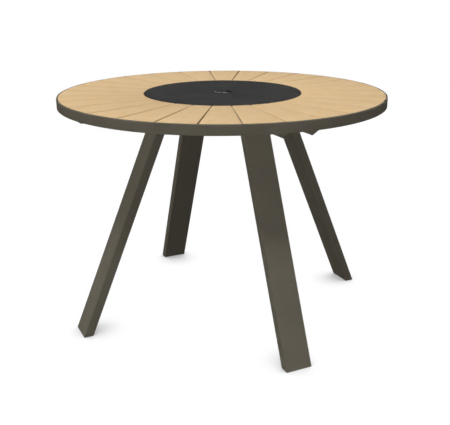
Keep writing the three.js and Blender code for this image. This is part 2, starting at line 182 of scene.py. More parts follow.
# Colours, as linear values
WHITE = (1, 1, 1, 1)
WOOD_PALE = (0.700, 0.508, 0.295, 1)
WOOD_MID = (0.625, 0.446, 0.250, 1)
WOOD_WARM = (0.640, 0.430, 0.215, 1)
WOOD_DARK = (0.520, 0.345, 0.180, 1)
# The next colour is painted shade, which darkens the slats' sides in the gaps between them.
WOOD_SIDE_PAINTED_SHADE = (0.430, 0.325, 0.215, 1)
COAT = (0.157, 0.142, 0.110, 1)
COAT_WORN = (0.190, 0.174, 0.140, 1)
BOARD = (0.041, 0.041, 0.041, 1)
BOARD_FLECK = (0.052, 0.052, 0.052, 1)
SLEEVE = (0.046, 0.046, 0.044, 1)
# The next colour is a painted glint, used in pale patches low in the sleeve's bore.
SLEEVE_PAINTED_GLINT = (0.62, 0.62, 0.60, 1)
STEEL = (0.52, 0.52, 0.52, 1)
STEEL_DARK = (0.34, 0.34, 0.35, 1)
ALUMINIUM = (0.62, 0.62, 0.63, 1)
ALUMINIUM_DARK = (0.46, 0.46, 0.47, 1)
FOOT_PLASTIC = (0.110, 0.100, 0.078, 1)
FOOT_SCUFF = (0.150, 0.138, 0.112, 1)
SLIDE_PLASTIC = (0.75, 0.74, 0.70, 1)
SLIDE_STAIN = (0.60, 0.58, 0.53, 1)
DUST = (0.42, 0.39, 0.34, 1)

# The wood: how far each board's figure is shifted, how its noises are stretched along the fibres, which
# part of each noise counts, what share each has in the tone, and how far down the painted shade on the
# slats' sides in the gaps starts
BOARD_SHIFT = (1.37, 0.73, 0.41)
WARP_STRETCH = (3.0, 22.0, 22.0)
FIBRE_STRETCH = (26.0, 900.0, 900.0)
PORE_STRETCH = (95.0, 1700.0, 1700.0)
BLOTCH_STRETCH = (24.0, 34.0, 34.0)
WARM_STRETCH = (17.0, 30.0, 30.0)
PORE_RANGE = (0.64, 0.72)
BLOTCH_RANGE = (0.34, 0.66)
WARM_RANGE = (0.45, 0.66)
TONE_RANGE = (0.05, 0.85)
RINGS_ACROSS = 520.0
RINGS_WARP = 34.0
TONE_BASE = 0.14
FIGURE_SHARE = 0.10
FIBRE_SHARE = 0.26
BLOTCH_SHARE = 0.34
BOARD_SHARE = 0.04
WARM_SHARE = 0.5
PORE_SHARE = 0.35
PORE_DEPTH = 0.6
SIDE_SHADE_START = 1.1 * MM
SIDE_SHADE_FULL = 2.4 * MM
SIDE_SHADE_FACING_RANGE = (0.8, 0.3)
WOOD_ROUGHNESS_RANGE = (0.82, 0.66)
WOOD_SPECULAR = 0.02
WOOD_BUMP = 0.25

# The sleeve in the hole: painted grey levels across its bore, from a painted highlight on the lit side to
# painted shade on the far side, and where pale patches low in the bore paint glints
BORE_PAINTED_LIGHT_AND_SHADE = ((0.0, 0.45), (0.12, 0.090), (0.45, 0.070), (0.60, 0.045), (0.78, 0.010))
GROMMET_SHADED_SIDE = (1.0, 0.35, 0.0)
BORE_PAINT_START = 0.1 * MM
BORE_PAINT_FULL = 0.4 * MM
GROMMET_GLINT_DEPTH = 6 * MM
GROMMET_GLINT_BLEND = 0.5 * MM
GROMMET_GLINT_RANGE = (0.40, 0.52)

# Coatings, dust and rubbed edges. The ranges say which part of a noise or a direction counts.
COAT_CLOUD = 0.06
TEXTURE_RANGE = (0.38, 0.62)
TEXTURE_GRAIN_SHARE = 0.55
DUST_PATCH_RANGE = (0.35, 0.75)
DUST_FACING_RANGE = (0.4, 1.0)
RUB_WIDTH = 0.8 * MM
RUB_SAMPLES = 6
RUB_PATCHINESS = 0.8
RUB_PATCH_RANGE = (0.40, 0.62)
RUB_FACING_RANGE = (0.99, 0.80)
TEXTURE_BUMP = 0.3


# Node helpers

def add_node(tree, kind, sockets=None, **settings):
    """Adds a node, sets its properties, and fills or links its inputs."""
    made = tree.nodes.new(kind)
    for key, value in settings.items():
        setattr(made, key, value)
    for key, value in (sockets or {}).items():
        if isinstance(value, bpy.types.NodeSocket):
            tree.links.new(value, made.inputs[key])
        else:
            made.inputs[key].default_value = value
    return made


def new_tree(name, kind, inputs, outputs):
    """A node group whose sockets are given as {name: (type, default)}."""
    tree = bpy.data.node_groups.new(name, kind)
    for way, sockets in (("INPUT", inputs), ("OUTPUT", outputs)):
        for label, (socket_type, default) in sockets.items():
            socket = tree.interface.new_socket(label, in_out=way, socket_type=socket_type)
            if default is not None:
                socket.default_value = default
    return tree, tree.nodes.new("NodeGroupInput").outputs, tree.nodes.new("NodeGroupOutput")


def math_node(tree, operation, *values, clamp=False):
    return add_node(tree, "ShaderNodeMath", dict(enumerate(values)), operation=operation,
                    use_clamp=clamp).outputs[0]


def scaled(tree, vector, scale):
    return add_node(tree, "ShaderNodeVectorMath", {0: vector, 1: scale}, operation="MULTIPLY").outputs[0]


def noise(tree, vector, scale, detail=3.0, roughness=0.5, distortion=0.0):
    sockets = {"Vector": vector, "Scale": scale, "Detail": detail, "Roughness": roughness,
               "Distortion": distortion}
    return add_node(tree, "ShaderNodeTexNoise", sockets).outputs["Fac"]


def spread(tree, value, low, high, to_low=0.0, to_high=1.0):
    sockets = {"Value": value, "From Min": low, "From Max": high, "To Min": to_low, "To Max": to_high}
    return add_node(tree, "ShaderNodeMapRange", sockets).outputs["Result"]


def mixed(tree, factor, first, second):
    made = add_node(tree, "ShaderNodeMix", {"Factor": factor}, data_type="RGBA")
    for socket, value in ((made.inputs[6], first), (made.inputs[7], second)):
        if isinstance(value, bpy.types.NodeSocket):
            tree.links.new(value, socket)
        else:
            socket.default_value = value
    return made.outputs[2]


def place_in_group(material_tree, group, **values):
    made = add_node(material_tree, "ShaderNodeGroup", node_tree=group)
    for label, value in values.items():
        socket = made.inputs[label.replace("_", " ")]
        if isinstance(value, bpy.types.NodeSocket):
            material_tree.links.new(value, socket)
        else:
            socket.default_value = value
    return made.outputs


# Finishes that several materials share

def make_edge_rub():
    """Mask of the edges that hands, chairs and cleaning have rubbed."""
    tree, given, result = new_tree(
        "edge rub", "ShaderNodeTree",
        {"Width": ("NodeSocketFloat", 0.001), "Patchiness": ("NodeSocketFloat", 0.5)},
        {"Mask": ("NodeSocketFloat", None)})
    place = add_node(tree, "ShaderNodeTexCoord").outputs["Object"]
    soft = add_node(tree, "ShaderNodeBevel", {"Radius": given["Width"]},
                    samples=RUB_SAMPLES).outputs["Normal"]
    true = add_node(tree, "ShaderNodeNewGeometry").outputs["Normal"]
    facing = add_node(tree, "ShaderNodeVectorMath", {0: soft, 1: true}, operation="DOT_PRODUCT")
    turned_away = spread(tree, facing.outputs["Value"], *RUB_FACING_RANGE)
    patches = spread(tree, noise(tree, place, scale=45.0, detail=4.0), *RUB_PATCH_RANGE)
    kept = math_node(tree, "SUBTRACT", 1.0, given["Patchiness"])
    patches = math_node(tree, "MAXIMUM", patches, kept)
    tree.links.new(math_node(tree, "MULTIPLY", turned_away, patches, clamp=True), result.inputs["Mask"])
    return tree


def make_settled_dust():
    """Mask of the dust that settles on what faces up."""
    tree, given, result = new_tree(
        "settled dust", "ShaderNodeTree",
        {"Amount": ("NodeSocketFloat", 0.1)}, {"Mask": ("NodeSocketFloat", None)})
    place = add_node(tree, "ShaderNodeTexCoord").outputs["Object"]
    normal = add_node(tree, "ShaderNodeNewGeometry").outputs["Normal"]
    upward = add_node(tree, "ShaderNodeSeparateXYZ", {0: normal}).outputs["Z"]
    patches = noise(tree, place, scale=14.0, detail=5.0, roughness=0.6)
    patches = spread(tree, patches, *DUST_PATCH_RANGE)
    mask = math_node(tree, "MULTIPLY", spread(tree, upward, *DUST_FACING_RANGE), patches)
    tree.links.new(math_node(tree, "MULTIPLY", mask, given["Amount"], clamp=True), result.inputs["Mask"])
    return tree


def make_fine_texture():
    """A fine even texture for coatings, boards and plastics: tone, roughness and height."""
    tree, given, result = new_tree(
        "fine texture", "ShaderNodeTree",
        {"Grain": ("NodeSocketFloat", 900.0), "Cloud": ("NodeSocketFloat", 9.0),
         "Roughness": ("NodeSocketFloat", 0.5), "Unevenness": ("NodeSocketFloat", 0.06)},
        {"Tone": ("NodeSocketFloat", None), "Roughness": ("NodeSocketFloat", None),
         "Height": ("NodeSocketFloat", None)})
    place = add_node(tree, "ShaderNodeTexCoord").outputs["Object"]
    grain = noise(tree, place, given["Grain"], detail=2.0, roughness=0.6)
    cloud = noise(tree, place, given["Cloud"], detail=4.0, roughness=0.55)
    tone = math_node(tree, "ADD", math_node(tree, "MULTIPLY", grain, TEXTURE_GRAIN_SHARE),
                     math_node(tree, "MULTIPLY", cloud, 1 - TEXTURE_GRAIN_SHARE))
    offset = math_node(tree, "MULTIPLY", math_node(tree, "SUBTRACT", cloud, 0.5), given["Unevenness"])
    tree.links.new(spread(tree, tone, *TEXTURE_RANGE), result.inputs["Tone"])
    tree.links.new(math_node(tree, "ADD", given["Roughness"], offset), result.inputs["Roughness"])
    tree.links.new(grain, result.inputs["Height"])
    return tree


def make_wood_grain():
    """Long wood grain. The fibres run along the place's X, which is in metres."""
    tree, given, result = new_tree(
        "wood grain", "ShaderNodeTree",
        {"Place": ("NodeSocketVector", None), "Number": ("NodeSocketFloat", 0.0)},
        {"Figure": ("NodeSocketFloat", None), "Fibre": ("NodeSocketFloat", None),
         "Pores": ("NodeSocketFloat", None), "Board": ("NodeSocketFloat", None)})
    shift = add_node(tree, "ShaderNodeCombineXYZ", {
        axis: math_node(tree, "MULTIPLY", given["Number"], share)
        for axis, share in enumerate(BOARD_SHIFT)}).outputs[0]
    place = add_node(tree, "ShaderNodeVectorMath", {0: given["Place"], 1: shift}).outputs[0]
    warp = noise(tree, scaled(tree, place, WARP_STRETCH), 1.0, distortion=0.4)
    across = add_node(tree, "ShaderNodeSeparateXYZ", {0: place}).outputs["Y"]
    rings = math_node(tree, "ADD", math_node(tree, "MULTIPLY", across, RINGS_ACROSS),
                      math_node(tree, "MULTIPLY", warp, RINGS_WARP))
    figure = math_node(tree, "MULTIPLY_ADD", math_node(tree, "SINE", rings), 0.5, 0.5)
    fibre = noise(tree, scaled(tree, place, FIBRE_STRETCH), 1.0, roughness=0.65)
    pores = noise(tree, scaled(tree, place, PORE_STRETCH), 1.0, detail=1.0)
    pores = spread(tree, pores, *PORE_RANGE)
    board = add_node(tree, "ShaderNodeTexWhiteNoise", {"W": given["Number"]}, noise_dimensions="1D")
    for label, value in (("Figure", figure), ("Fibre", fibre), ("Pores", pores)):
        tree.links.new(value, result.inputs[label])
    tree.links.new(board.outputs["Value"], result.inputs["Board"])
    return tree


edge_rub = make_edge_rub()
settled_dust = make_settled_dust()
fine_texture = make_fine_texture()
wood_grain = make_wood_grain()


# Materials

def new_material(name):
    material = bpy.data.materials.new(name)
    material.use_nodes = True
    tree = material.node_tree
    return material, tree, tree.nodes["Principled BSDF"]


def toned(colour, share):
    """The colour, darker for a share below one and lighter above it."""
    return (*[channel * share for channel in colour[:3]], 1)


def bump(tree, shader, height, strength, distance):
    sockets = {"Height": height, "Strength": strength, "Distance": distance}
    made = add_node(tree, "ShaderNodeBump", sockets)
    tree.links.new(made.outputs["Normal"], shader.inputs["Normal"])


def make_wood():
    material, tree, shader = new_material("oiled_hardwood")
    place = add_node(tree, "ShaderNodeAttribute", attribute_name="grain_place").outputs["Vector"]
    number = add_node(tree, "ShaderNodeAttribute", attribute_name="repeat_number").outputs["Fac"]
    grain = place_in_group(tree, wood_grain, Place=place, Number=number)
    numbered = add_node(tree, "ShaderNodeCombineXYZ", {2: number}).outputs[0]
    spot = add_node(tree, "ShaderNodeVectorMath", {0: place, 1: numbered}).outputs[0]
    blotches = noise(tree, scaled(tree, spot, BLOTCH_STRETCH), 1.0, detail=4.0, roughness=0.6)
    blotches = spread(tree, blotches, *BLOTCH_RANGE)
    warm = spread(tree, noise(tree, scaled(tree, spot, WARM_STRETCH), 1.3), *WARM_RANGE)
    tone = math_node(tree, "MULTIPLY_ADD", grain["Figure"], FIGURE_SHARE, TONE_BASE)
    tone = math_node(tree, "ADD", tone, math_node(tree, "MULTIPLY", grain["Fibre"], FIBRE_SHARE))
    tone = math_node(tree, "ADD", tone, math_node(tree, "MULTIPLY", blotches, BLOTCH_SHARE))
    lift = spread(tree, grain["Board"], 0.0, 1.0, -BOARD_SHARE, BOARD_SHARE)
    tone = math_node(tree, "ADD", tone, lift)
    colour = mixed(tree, spread(tree, tone, *TONE_RANGE), WOOD_MID, WOOD_PALE)
    colour = mixed(tree, math_node(tree, "MULTIPLY", warm, WARM_SHARE), colour, WOOD_WARM)
    colour = mixed(tree, math_node(tree, "MULTIPLY", grain["Pores"], PORE_SHARE), colour, WOOD_DARK)
    # Painted shade: below the top, the slats' sideways-facing sides get a darker colour, so the gaps
    # between the slats look shaded.
    height = add_node(tree, "ShaderNodeSeparateXYZ", {0: place}).outputs["Z"]
    depth = spread(tree, height, SURFACE - SIDE_SHADE_START, SURFACE - SIDE_SHADE_FULL)
    facing = add_node(tree, "ShaderNodeNewGeometry").outputs["Normal"]
    facing = add_node(tree, "ShaderNodeSeparateXYZ", {0: facing}).outputs["Z"]
    upright = spread(tree, math_node(tree, "ABSOLUTE", facing), *SIDE_SHADE_FACING_RANGE)
    sides = math_node(tree, "MULTIPLY", depth, upright)
    colour = mixed(tree, sides, colour, WOOD_SIDE_PAINTED_SHADE)
    tree.links.new(colour, shader.inputs["Base Color"])
    roughness = spread(tree, grain["Fibre"], 0.2, 0.8, *WOOD_ROUGHNESS_RANGE)
    tree.links.new(roughness, shader.inputs["Roughness"])
    shader.inputs["Specular IOR Level"].default_value = WOOD_SPECULAR
    pitted = math_node(tree, "MULTIPLY", grain["Pores"], PORE_DEPTH)
    relief = math_node(tree, "SUBTRACT", grain["Fibre"], pitted)
    bump(tree, shader, relief, WOOD_BUMP, 0.15 * MM)
    return material


def make_textured(name, colour, second, *, roughness, grain, relief, specular=0.3, metallic=0.0,
                  worn=None, wear=0.0, dust=0.0):
    """A coating, board, plastic or plain metal with a fine even texture and rubbed edges."""
    material, tree, shader = new_material(name)
    texture = place_in_group(tree, fine_texture, Grain=grain, Roughness=roughness)
    shade = mixed(tree, texture["Tone"], colour, second)
    if worn:
        rubbed = place_in_group(tree, edge_rub, Width=RUB_WIDTH, Patchiness=RUB_PATCHINESS)["Mask"]
        shade = mixed(tree, math_node(tree, "MULTIPLY", rubbed, wear), shade, worn)
    if dust:
        settled = place_in_group(tree, settled_dust, Amount=dust)["Mask"]
        shade = mixed(tree, settled, shade, DUST)
    tree.links.new(shade, shader.inputs["Base Color"])
    tree.links.new(texture["Roughness"], shader.inputs["Roughness"])
    shader.inputs["Specular IOR Level"].default_value = specular
    shader.inputs["Metallic"].default_value = metallic
    bump(tree, shader, texture["Height"], TEXTURE_BUMP, relief)
    return material


def make_sleeve_painted_light():
    """Charcoal coating, with painted highlight and shade across the bore and painted glints low in it."""
    material, tree, shader = new_material("rubbed_charcoal")
    texture = place_in_group(tree, fine_texture, Grain=900.0, Roughness=0.55)
    place = add_node(tree, "ShaderNodeTexCoord").outputs["Object"]
    height = add_node(tree, "ShaderNodeSeparateXYZ", {0: place}).outputs["Z"]
    # Painted highlight and shade: below the flange's top, the bore's grey runs from a pale painted
    # highlight on one side to dark painted shade on the other.
    across = add_node(tree, "ShaderNodeVectorMath", {0: place, 1: GROMMET_SHADED_SIDE},
                      operation="DOT_PRODUCT").outputs["Value"]
    bore = add_node(tree, "ShaderNodeValToRGB", {0: spread(tree, across, -HOLE_RADIUS, HOLE_RADIUS)})
    stops = bore.color_ramp.elements
    stops.remove(stops[1])
    for share, level in BORE_PAINTED_LIGHT_AND_SHADE:
        stops.new(share).color = (level, level, level, 1)
    stops.remove(stops[0])
    inside = spread(tree, height, grommet_high.z - BORE_PAINT_START, grommet_high.z - BORE_PAINT_FULL)
    # Painted glints: from this depth down, pale patches in the bore stand in for highlights along the
    # hole's lip.
    start = grommet_high.z - GROMMET_GLINT_DEPTH
    low = spread(tree, height, start + GROMMET_GLINT_BLEND, start - GROMMET_GLINT_BLEND)
    patches = spread(tree, noise(tree, place, scale=110.0, detail=2.0), *GROMMET_GLINT_RANGE)
    rubbed = math_node(tree, "MULTIPLY", low, patches, clamp=True)
    shade = mixed(tree, texture["Tone"], SLEEVE, toned(SLEEVE, 1.15))
    shade = mixed(tree, inside, shade, bore.outputs["Color"])
    tree.links.new(mixed(tree, rubbed, shade, SLEEVE_PAINTED_GLINT), shader.inputs["Base Color"])
    tree.links.new(texture["Roughness"], shader.inputs["Roughness"])
    shader.inputs["Specular IOR Level"].default_value = 0.0
    bump(tree, shader, texture["Height"], TEXTURE_BUMP, 0.01 * MM)
    return material


wood = make_wood()
coat = make_textured("powder_coat", toned(COAT, 1 - COAT_CLOUD), toned(COAT, 1 + COAT_CLOUD),
                     roughness=0.80, grain=1100.0, relief=0.06 * MM, specular=0.0,
                     worn=COAT_WORN, wear=0.35, dust=0.02)
board = make_textured("charcoal_board", BOARD, BOARD_FLECK, roughness=0.85, grain=1600.0,
                      relief=0.03 * MM, specular=0.0, worn=BOARD_FLECK, wear=0.5, dust=0.015)
steel = make_textured("satin_stainless", STEEL, STEEL_DARK, roughness=0.30, grain=700.0,
                      relief=0.01 * MM, metallic=1.0)
aluminium = make_textured("plain_aluminium", ALUMINIUM, ALUMINIUM_DARK, roughness=0.42, grain=500.0,
                          relief=0.02 * MM, metallic=1.0)
sleeve_painted_light = make_sleeve_painted_light()
foot_plastic = make_textured("foot_plastic", FOOT_PLASTIC, toned(FOOT_PLASTIC, 1.3), roughness=0.66,
                             grain=1300.0, relief=0.05 * MM, worn=FOOT_SCUFF, wear=0.6)
slide_plastic = make_textured("slide_plastic", SLIDE_PLASTIC, SLIDE_STAIN, roughness=0.45,
                              grain=300.0, relief=0.02 * MM)


# Shape helpers

def eased(points, radius):
    """A closed outline with its corners rounded by a curve that starts a radius before each."""
    result = []
    for i, corner in enumerate(points):
        corner = Vector(corner)
        before, after = Vector(points[i - 1]) - corner, Vector(points[(i + 1) % len(points)]) - corner
        start = corner + before.normalized() * min(radius, before.length * CORNER_SIDE_SHARE)
        end = corner + after.normalized() * min(radius, after.length * CORNER_SIDE_SHARE)
        for k in range(CORNER_STEPS + 1):
            t = k / CORNER_STEPS
            result.append(start * (1 - t) ** 2 + corner * 2 * t * (1 - t) + end * t ** 2)
    return result


def smooth(mesh, angle=SMOOTH_ANGLE):
    mesh.shade_smooth()
    mesh.set_sharp_from_angle(angle=angle)


def to_object(name, bm, material, angle=SMOOTH_ANGLE):
    bmesh.ops.remove_doubles(bm, verts=bm.verts, dist=SAME_PLACE)
    bmesh.ops.recalc_face_normals(bm, faces=bm.faces)
    mesh = bpy.data.meshes.new(name)
    bm.to_mesh(mesh)
    bm.free()
    smooth(mesh, angle)
    mesh.materials.append(material)
    made = bpy.data.objects.new(name, mesh)
    bpy.context.scene.collection.objects.link(made)
    return made


def turn_profile(bm, profile, steps=ROUND_STEPS, place=None, six_sided=None):
    """Turns a closed (radius, level) outline about Z. Rows at the six_sided radius are hexagons."""
    rows = []
    for radius, level in profile:
        row = []
        for k in range(steps):
            angle = 2 * math.pi * k / steps
            reach = radius
            if radius == six_sided:
                reach = radius / math.cos(angle % (math.pi / 3) - math.pi / 6)
            point = Vector((reach * math.cos(angle), reach * math.sin(angle), level))
            row.append(bm.verts.new(place @ point if place else point))
        rows.append(row)
    for index, row in enumerate(rows):
        following = rows[(index + 1) % len(rows)]
        for k in range(steps):
            corners = [row[k], row[(k + 1) % steps], following[(k + 1) % steps], following[k]]
            bm.faces.new(corners)


def ring_profile(inner, outer, bottom, top):
    return [(inner, bottom), (outer, bottom), (outer, top), (inner, top)]


def turned(name, profile, material, ease=SHEET_EDGE, steps=ROUND_STEPS):
    bm = bmesh.new()
    turn_profile(bm, [tuple(point) for point in eased(profile, ease)], steps)
    return to_object(name, bm, material)


def stands_for(piece, body, slot, *nodes):
    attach(piece, body)
    if nodes:
        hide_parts(*nodes)


def baked(made):
    """The object with its modifiers turned into plain mesh."""
    bpy.context.view_layer.update()
    evaluated = made.evaluated_get(bpy.context.evaluated_depsgraph_get())
    mesh = bpy.data.meshes.new_from_object(evaluated)
    mesh.name = made.name
    made.modifiers.clear()
    made.data = mesh
    return made


def add_bevel(made, width, angle, harden=False):
    bevel = made.modifiers.new("edges", "BEVEL")
    bevel.width = width
    bevel.segments = BEVEL_STEPS
    bevel.limit_method = "ANGLE"
    bevel.angle_limit = angle
    bevel.harden_normals = harden


def refined(node, name, material, ease):
    """A copy of a CAD node, merged, with its sharp edges rounded."""
    bm = bmesh.new()
    bm.from_mesh(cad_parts[node].data)
    bmesh.ops.remove_doubles(bm, verts=bm.verts, dist=SAME_CAD_PLACE)
    bmesh.ops.dissolve_limit(bm, angle_limit=FLAT_ANGLE, verts=bm.verts, edges=bm.edges)
    made = to_object(name, bm, material)
    add_bevel(made, ease, CAD_BEVEL_ANGLE, harden=True)
    return baked(made)


# Geometry Nodes

def make_repeat_tree():
    """Sets copies of a piece round the table's axis, and notes where each point was on the first."""
    tree, given, result = new_tree(
        "set round the axis", "GeometryNodeTree",
        {"Piece": ("NodeSocketGeometry", None), "Count": ("NodeSocketInt", 4),
         "First Angle": ("NodeSocketFloat", 0.0), "Material": ("NodeSocketMaterial", None)},
        {"Set": ("NodeSocketGeometry", None)})
    place = add_node(tree, "GeometryNodeInputPosition").outputs[0]
    noted = add_node(tree, "GeometryNodeStoreNamedAttribute",
                     {"Geometry": given["Piece"], "Name": "grain_place", "Value": place},
                     data_type="FLOAT_VECTOR", domain="POINT").outputs[0]
    spots = add_node(tree, "GeometryNodePoints", {"Count": given["Count"]}).outputs[0]
    index = add_node(tree, "GeometryNodeInputIndex").outputs[0]
    pitch = math_node(tree, "DIVIDE", 2 * math.pi, given["Count"])
    angle = math_node(tree, "MULTIPLY_ADD", index, pitch, given["First Angle"])
    euler = add_node(tree, "ShaderNodeCombineXYZ", {"Z": angle}).outputs[0]
    rotation = add_node(tree, "FunctionNodeEulerToRotation", {0: euler}).outputs[0]
    copies = add_node(tree, "GeometryNodeInstanceOnPoints",
                      {"Points": spots, "Instance": noted, "Rotation": rotation}).outputs[0]
    numbered = add_node(tree, "GeometryNodeStoreNamedAttribute",
                        {"Geometry": copies, "Name": "repeat_number", "Value": index},
                        data_type="FLOAT", domain="INSTANCE").outputs[0]
    whole = add_node(tree, "GeometryNodeRealizeInstances", {0: numbered}).outputs[0]
    finished = add_node(tree, "GeometryNodeSetMaterial",
                        {"Geometry": whole, "Material": given["Material"]}).outputs[0]
    tree.links.new(finished, result.inputs["Set"])
    return tree


def make_weld_tree():
    """A rippled weld bead along each line of a wire mesh."""
    tree, given, result = new_tree(
        "weld bead", "GeometryNodeTree",
        {"Lines": ("NodeSocketGeometry", None), "Radius": ("NodeSocketFloat", 0.002),
         "Ripple Length": ("NodeSocketFloat", 0.0025), "Step": ("NodeSocketFloat", 0.0008),
         "Material": ("NodeSocketMaterial", None)},
        {"Beads": ("NodeSocketGeometry", None)})
    path = add_node(tree, "GeometryNodeMeshToCurve", {0: given["Lines"]}).outputs[0]
    path = add_node(tree, "GeometryNodeResampleCurve", {"Curve": path, "Length": given["Step"]},
                    mode="LENGTH").outputs[0]
    along = add_node(tree, "GeometryNodeSplineParameter").outputs["Length"]
    ripples = math_node(tree, "DIVIDE", along, given["Ripple Length"])
    phase = math_node(tree, "MULTIPLY", ripples, 2 * math.pi)
    swell = math_node(tree, "MULTIPLY_ADD", math_node(tree, "SINE", phase), WELD_RIPPLE, 1.0)
    radius = math_node(tree, "MULTIPLY", swell, given["Radius"])
    section = add_node(tree, "GeometryNodeCurvePrimitiveCircle",
                       {"Resolution": WELD_SIDES, "Radius": 1.0})
    bead = add_node(tree, "GeometryNodeCurveToMesh",
                    {"Curve": path, "Profile Curve": section.outputs["Curve"], "Scale": radius,
                     "Fill Caps": True}).outputs[0]
    whole = add_node(tree, "GeometryNodeRealizeInstances", {0: bead}).outputs[0]
    finished = add_node(tree, "GeometryNodeSetMaterial",
                        {"Geometry": whole, "Material": given["Material"]}).outputs[0]
    tree.links.new(finished, result.inputs["Beads"])
    return tree


repeat_tree = make_repeat_tree()
weld_tree = make_weld_tree()


def use_tree(made, tree, **values):
    modifier = made.modifiers.new(tree.name, "NODES")
    modifier.node_group = tree
    for item in tree.interface.items_tree:
        label = item.name.replace(" ", "_")
        if item.item_type == "SOCKET" and item.in_out == "INPUT" and label in values:
            modifier[item.identifier] = values[label]


def set_round(made, count, material):
    use_tree(made, repeat_tree, Count=count, First_Angle=FIRST_LEG_ANGLE, Material=material)
    baked(made)
    smooth(made.data)
    return made


# Slatted top

def polar(radius, angle):
    return Vector((radius * math.cos(angle), radius * math.sin(angle)))


def slat_outline():
    """One slat about +X. Its long sides lie on radii, so the gaps widen outward."""
    outer = TOP_RADIUS - RIM_WALL - SLAT_END_CLEARANCE
    inner = DISC_RADIUS + DISC_GAP
    side = math.pi / SLAT_COUNT - SLAT_GAP / 2 / outer

    def end(radius, inward, steps):
        """From the middle of an end round its corner to the long side."""
        turn = abs(inward) / radius
        middle = [polar(radius, (side - turn) * k / steps) for k in range(steps)]
        corner = [polar(radius + inward * t ** 2, side - turn * (1 - t) ** 2) for t in CORNER_SHARES]
        return middle + corner

    outer_end = end(outer, -SLAT_OUTER_CORNER, SLAT_OUTER_STEPS)
    inner_end = end(inner, SLAT_INNER_CORNER, SLAT_INNER_STEPS)
    upper = outer_end + inner_end[::-1]
    return upper + [Vector((point.x, -point.y)) for point in upper[-2:0:-1]]


def make_slats():
    bm = bmesh.new()
    bottom = [bm.verts.new((point.x, point.y, slat_low.z)) for point in slat_outline()]
    face = bm.faces.new(bottom)
    lifted = bmesh.ops.extrude_face_region(bm, geom=[face])["geom"]
    top = [item for item in lifted if isinstance(item, bmesh.types.BMVert)]
    bmesh.ops.translate(bm, verts=top, vec=(0, 0, slat_high.z - slat_low.z))
    slats = to_object("top_slats", bm, wood)
    add_bevel(slats, SLAT_EDGE, SLAT_BEVEL_ANGLE)
    set_round(slats, SLAT_COUNT, wood)
    stands_for(slats, "frame", "wood_slats", *SLATS)


# Rim, ledge, support ring and hub

def make_top_frame():
    inner, outer, round_centre = TOP_RADIUS - RIM_WALL, TOP_RADIUS, TOP_RADIUS - RIM_ROUND
    turns = [k * math.pi / 2 / RIM_ROUND_STEPS for k in range(RIM_ROUND_STEPS + 1)]
    shoulder = [
        (round_centre + RIM_ROUND * math.cos(turn), rim_high.z - RIM_ROUND * (1 - math.sin(turn)))
        for turn in turns
    ]
    rim = turned("rim_bar", [
        (inner, rim_low.z), (outer - RIM_EDGE, rim_low.z), (outer, rim_low.z + RIM_EDGE),
        *shoulder, (inner, rim_high.z),
    ], coat, RIM_CORNER_EDGE, RIM_STEPS)
    stands_for(rim, "frame", "frame_coating", "rim_ring")
    outline = ring_profile(ledge_high.x - LEDGE_WIDTH, ledge_high.x, ledge_low.z, ledge_high.z)
    ledge = turned("rim_ledge_plate", outline, coat)
    stands_for(ledge, "frame", "frame_coating", "rim_ledge")
    outline = ring_profile(support_high.x - SUPPORT_WIDTH, support_high.x, support_low.z, support_high.z)
    support = turned("support_ring_plate", outline, coat)
    stands_for(support, "frame", "frame_coating", "plank_support_ring")


def make_hub():
    plate = turned("hub_top_plate", ring_profile(GUIDE_HOLE, hub_high.x, hub_low.z, hub_high.z), coat)
    stands_for(plate, "frame", "frame_coating", "hub_plate")
    base = refined("hub_base_plate", "hub_bottom_plate", coat, SHEET_EDGE)
    stands_for(base, "frame", "frame_coating", "hub_base_plate")
    outline = ring_profile(GUIDE_BORE, guide_high.x, guide_low.z, guide_high.z)
    guide = turned("parasol_guide", outline, coat, GUIDE_EDGE, GUIDE_STEPS)
    stands_for(guide, "frame", "frame_coating", "parasol_guide_tube")


# Arms, legs, feet and bolts

def span(node, direction):
    """Lowest and highest place of a CAD node along a direction."""
    places = [vertex.co.dot(direction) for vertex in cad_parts[node].data.vertices]
    return min(places), max(places)


def make_bolt(node, across):
    low, high = span(node, across)
    centre = (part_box(node)[0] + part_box(node)[1]) / 2
    start = centre + across * (low - centre.dot(across))
    length = high - low
    seat = length - BOLT_HEAD_HEIGHT
    outline = [
        (BOLT_AXIS_GAP, 0), (BOLT_RADIUS - BOLT_TIP, 0), (BOLT_RADIUS, BOLT_TIP), (BOLT_RADIUS, seat),
        (BOLT_HEAD_RADIUS - BOLT_HEAD_EDGE, seat), (BOLT_HEAD_RADIUS, seat + BOLT_HEAD_EDGE),
        *[(BOLT_HEAD_RADIUS * share, seat + rise) for share, rise in BOLT_CROWN],
        (BOLT_SOCKET * BOLT_SOCKET_MOUTH, length), (BOLT_SOCKET, length - BOLT_SOCKET_EASE),
        (BOLT_SOCKET, length - BOLT_SOCKET_WALL_END), (BOLT_AXIS_GAP, length - BOLT_SOCKET_DEPTH),
    ]
    place = Matrix.Translation(start) @ across.to_track_quat("Z", "X").to_matrix().to_4x4()
    bm = bmesh.new()
    turn_profile(bm, outline, BOLT_STEPS, place, six_sided=BOLT_SOCKET)
    made = to_object(node.replace("leg_bolt", "leg_screw"), bm, steel, BOLT_SMOOTH_ANGLE)
    stands_for(made, "frame", "stainless_fasteners", node)


def make_corner(index):
    name = CORNERS[index]
    angle = FIRST_LEG_ANGLE + index * QUARTER
    across = Vector((-math.sin(angle), math.cos(angle), 0))
    arm = refined(f"arm_{name}", f"folded_arm_{name}", coat, FOLDED_EDGE)
    stands_for(arm, "frame", "frame_coating", f"arm_{name}")
    leg = refined(f"leg_{name}", f"tube_leg_{name}", coat, FOLDED_EDGE)
    stands_for(leg, "frame", "frame_coating", f"leg_{name}")
    foot = refined(f"foot_plug_{name}", f"foot_{name}", foot_plastic, FOOT_EDGE)
    stands_for(foot, "frame", "foot_plastic", f"foot_plug_{name}")
    for position in ("upper", "lower"):
        make_bolt(f"leg_bolt_{name}_{position}", across)


# Screws and welds below the top

